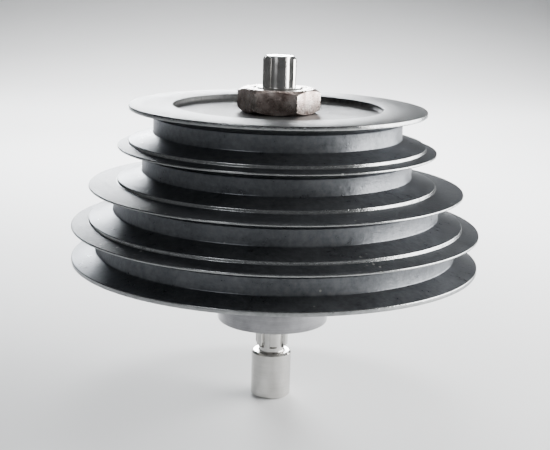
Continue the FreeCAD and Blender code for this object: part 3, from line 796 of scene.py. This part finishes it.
def makeSleeve():
    bottom, top = low("drive_sleeve"), high("drive_sleeve")
    seatBottom = low("cone_pulley") + dishFloor - pulley["hubLength"]
    seatTop = low("cone_pulley") + dishFloor - sleeve["relief"]
    clipTop = high("retaining_ring") + 0.025
    edge = sleeve["edge"]
    groove = sleeve["bearing"] - sleeve["clipDepth"]
    corners = [(3.0, bottom, 0), (sleeve["bearing"] - edge, bottom, 0)]
    corners += [(sleeve["bearing"], bottom + edge, 0)]
    slotBottom = clipTop - sleeve["clipSlot"]
    corners += [(sleeve["bearing"], slotBottom, 0), (groove, slotBottom, 0)]
    corners += [(groove, clipTop, 0), (sleeve["bearing"], clipTop, 0)]
    corners += [(sleeve["bearing"], seatBottom - sleeve["collarHeight"], 0)]
    corners += [(sleeve["collar"], seatBottom - sleeve["collarHeight"], 0.3)]
    corners += [(sleeve["collar"], seatBottom, 0.3)]
    corners += [(sleeve["seat"], seatBottom, 0), (sleeve["seat"], seatTop - edge, 0)]
    corners += [(sleeve["seat"] - edge, seatTop, 0), (sleeve["thread"], seatTop, 0)]
    corners += [(sleeve["thread"], top - edge, 0), (sleeve["thread"] - edge, top, 0), (3.0, top, 0)]
    piece = turned("driveSleeve", corners, 128)
    section = [(x, y, bottom - 1) for x, y in splineSection(spline["play"])]
    carve(piece, prism("splineBroach", section, top - bottom + 2, (0, 0, 1)))
    keyLow, keyHigh = low("drive_key") - 0.03, high("drive_key") + 0.03
    half = sleeve["keyHalf"]
    slot = []
    for centre, start in ((keyHigh - half, 0.0), (keyLow + half, math.pi)):
        for step in range(13):
            turn = start + math.pi * step / 12
            slot.append((sleeve["keyFloor"], half * math.cos(turn), centre + half * math.sin(turn)))
    carve(piece, prism("keySlot", slot, 6.0, (1, 0, 0)))
    return smooth(piece, 28)


def steel(name, colour, shade, gloss, marks, ringScale, blotches=0.1, stain=None):
    # Turned or ground steel: gloss is its roughness and marks the depth of its rings.
    paint = Paint(name, Metallic=1.0)
    patches = paint.noise(260.0, 4.0, 0.6)
    rings = paint.toolMarks(ringScale)
    scratches = paint.noise(1.0, 3.0, 0.7, paint.point(paint.x * 2500, paint.y * 2500, paint.z * 160))
    tone = paint.colours(patches * 0.6 + rings * 0.4, (0.3, shade), (0.7, colour))
    if stain is not None:
        spots = paint.step(paint.noise(420.0, 5.0, 0.7), 0.56, 0.72)
        tone = paint.blend(spots * 0.6, tone, (*stain, 1.0))
    paint.feed("Base Color", tone)
    paint.feed("Roughness", (gloss + (patches - 0.5) * blotches * 2 + (scratches - 0.5) * 0.1).atLeast(0.08))
    fine = paint.bump(rings, marks, 0.00005)
    paint.feed("Normal", paint.bump(scratches, 0.08, 0.00003, fine))
    return paint


spindleEnd = makeSpindle()
dress(spindleEnd, steel("groundSpindle", (0.62, 0.61, 0.59), (0.46, 0.45, 0.43), 0.20, 0.06, 1800.0))
placed(spindleEnd, "spindle", "sliding_spindle")
driveSleeve = makeSleeve()
sleeveSteel = steel(
    "turnedSleeve", (0.44, 0.43, 0.41), (0.30, 0.29, 0.28), 0.32, 0.2, 1800.0, 0.12, (0.14, 0.10, 0.07)
)
dress(driveSleeve, sleeveSteel)
placed(driveSleeve, "drive_sleeve", "rotor")
print("spindle and sleeve done")


# --- bearings, spacers and circlip

bearing = {
    "outside": 23.5,
    "innerLand": 13.9,
    "outerLand": 19.9,
    "race": 4.13,
    "raceCentre": 16.601,
    "round": 0.8,
    "shieldInset": 0.6,
    "shieldThickness": 0.4,
    "shieldBite": 0.8,
    "shieldGap": 0.35,
    "shieldPlay": 0.05,
    "shieldDent": 0.25,      # the pressed ring stands in from the plain rim
}
spacer = {"outside": 23.4, "wall": 2.3, "waist": 0.5, "shoulder": 2.2, "slope": 0.4}


def raceArc(middleHeight, count=10):
    # The outer raceway's arc between its two edges on the land, from the top down.
    reach = math.acos((bearing["outerLand"] - bearing["raceCentre"]) / bearing["race"])
    points = []
    for step in range(count + 1):
        turn = reach - 2 * reach * step / count
        radius = bearing["raceCentre"] + bearing["race"] * math.cos(turn)
        points.append((radius, middleHeight + bearing["race"] * math.sin(turn), 0))
    return points


def makeOuterRing(name, node):
    bottom, top = low(node), high(node)
    b = bearing
    land = b["outerLand"]
    seat = land + b["shieldBite"] + b["shieldPlay"]
    near = b["shieldInset"] - b["shieldPlay"]
    far = b["shieldInset"] + b["shieldThickness"] + b["shieldPlay"]
    corners = [(land, bottom, 0.15), (b["outside"], bottom, b["round"])]
    corners += [(b["outside"], top, b["round"]), (land, top, 0.15)]
    corners += [(land, top - near, 0), (seat, top - near, 0), (seat, top - far, 0), (land, top - far, 0)]
    corners += raceArc((bottom + top) / 2)
    corners += [(land, bottom + far, 0), (seat, bottom + far, 0), (seat, bottom + near, 0)]
    corners += [(land, bottom + near, 0)]
    return smooth(turned(name, corners, 160))


def makeShield(name, node, outsideDown):
    b = bearing
    face = low(node) if outsideDown else high(node)
    inward = 1 if outsideDown else -1
    t = b["shieldThickness"]
    inner, outer = b["innerLand"] + b["shieldGap"], b["outerLand"] + b["shieldBite"]
    dent = b["shieldDent"]
    side = [(inner, 3 * t, 0.1), (inner, dent, 0.3), (outer - 1.9, dent, 0.2)]
    side += [(outer - 1.6, 0, 0.2), (outer, 0, 0.1), (outer, t, 0.1), (outer - 1.5, t, 0.2)]
    side += [(outer - 1.8, dent + t, 0.2), (inner + t, dent + t, 0.3), (inner + t, 3 * t, 0.1)]
    corners = [(radius, face + inward * depth, size) for radius, depth, size in side]
    return smooth(turned(name, corners, 128, 3))


def makeSpacer():
    bottom, top = low("outer_spacer"), high("outer_spacer")
    outside, shoulder = spacer["outside"], spacer["shoulder"]
    inside, waist = outside - spacer["wall"], outside - spacer["waist"]
    recess = shoulder + spacer["slope"]
    corners = [(inside, bottom, 0.3), (outside, bottom, 0.5), (outside, bottom + shoulder, 0.3)]
    corners += [(waist, bottom + recess, 0.3), (waist, top - recess, 0.3), (outside, top - shoulder, 0.3)]
    corners += [(outside, top, 0.5), (inside, top, 0.3)]
    return smooth(turned("outerSpacer", corners, 160))


def refined(node, name, edge):
    # A CAD node's own shape with its edges broken and its curves shaded smooth.
    piece = nodes[node].copy()
    piece.data = nodes[node].data.copy()
    piece.name = name
    piece.parent = None
    for key in [key for key in piece.keys() if key.startswith("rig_")]:
        del piece[key]
    bpy.context.collection.objects.link(piece)
    edit(piece)
    bpy.ops.mesh.select_all(action="SELECT")
    bpy.ops.mesh.remove_doubles(threshold=mm * 0.002)
    bpy.ops.mesh.dissolve_limited(angle_limit=math.radians(1))
    bpy.ops.object.mode_set(mode="OBJECT")
    breakEdges(piece, edge, 40, 2)
    return smooth(piece, 30)


ringSteel = steel("groundBearingSteel", (0.32, 0.32, 0.33), (0.20, 0.20, 0.21), 0.20, 0.12, 1900.0)
shieldSteel = steel("pressedShield", (0.60, 0.59, 0.56), (0.46, 0.45, 0.42), 0.34, 0.05, 900.0, 0.16)
spacerSteel = steel(
    "turnedSpacer", (0.46, 0.45, 0.44), (0.34, 0.33, 0.32), 0.30, 0.3, 1600.0, 0.12, (0.16, 0.12, 0.09)
)
clipSteel = steel("phosphatedClip", (0.085, 0.085, 0.09), (0.045, 0.045, 0.05), 0.42, 0.05, 900.0, 0.14)
keySteel = steel("drawnKey", (0.50, 0.49, 0.48), (0.40, 0.39, 0.38), 0.3, 0.1, 1800.0)
ballSteel = steel("polishedBall", (0.82, 0.82, 0.83), (0.76, 0.76, 0.77), 0.09, 0.02, 3000.0, 0.03)
cageSteel = steel("pressedCage", (0.56, 0.54, 0.50), (0.42, 0.41, 0.38), 0.36, 0.05, 900.0, 0.14)

for place in ("lower", "upper"):
    prefix = place + "_bearing_"
    ring = makeOuterRing(place + "OuterRing", prefix + "outer_ring")
    dress(ring, ringSteel)
    placed(ring, prefix + "outer_ring", "fixed_rings")
    for side in ("bottom", "top"):
        node = prefix + side + "_shield"
        plate = makeShield(place + side.capitalize() + "Shield", node, side == "bottom")
        dress(plate, shieldSteel)
        placed(plate, node, "fixed_rings")
    inner = refined(prefix + "inner_ring", place + "InnerRing", 0.1)
    dress(inner, ringSteel)
    placed(inner, prefix + "inner_ring", "rotor")
    dress(nodes[prefix + "balls"], ballSteel)
    for part in ("cage_top", "cage_bottom", "cage_rivets"):
        dress(nodes[prefix + part], cageSteel)

outerSpacer = makeSpacer()
dress(outerSpacer, spacerSteel)
placed(outerSpacer, "outer_spacer", "fixed_rings")
circlip = refined("retaining_ring", "circlip", 0.12)
dress(circlip, clipSteel)
placed(circlip, "retaining_ring", "rotor")
dress(nodes["inner_spacer"], spacerSteel)
dress(nodes["drive_key"], keySteel)
print("bearings done")
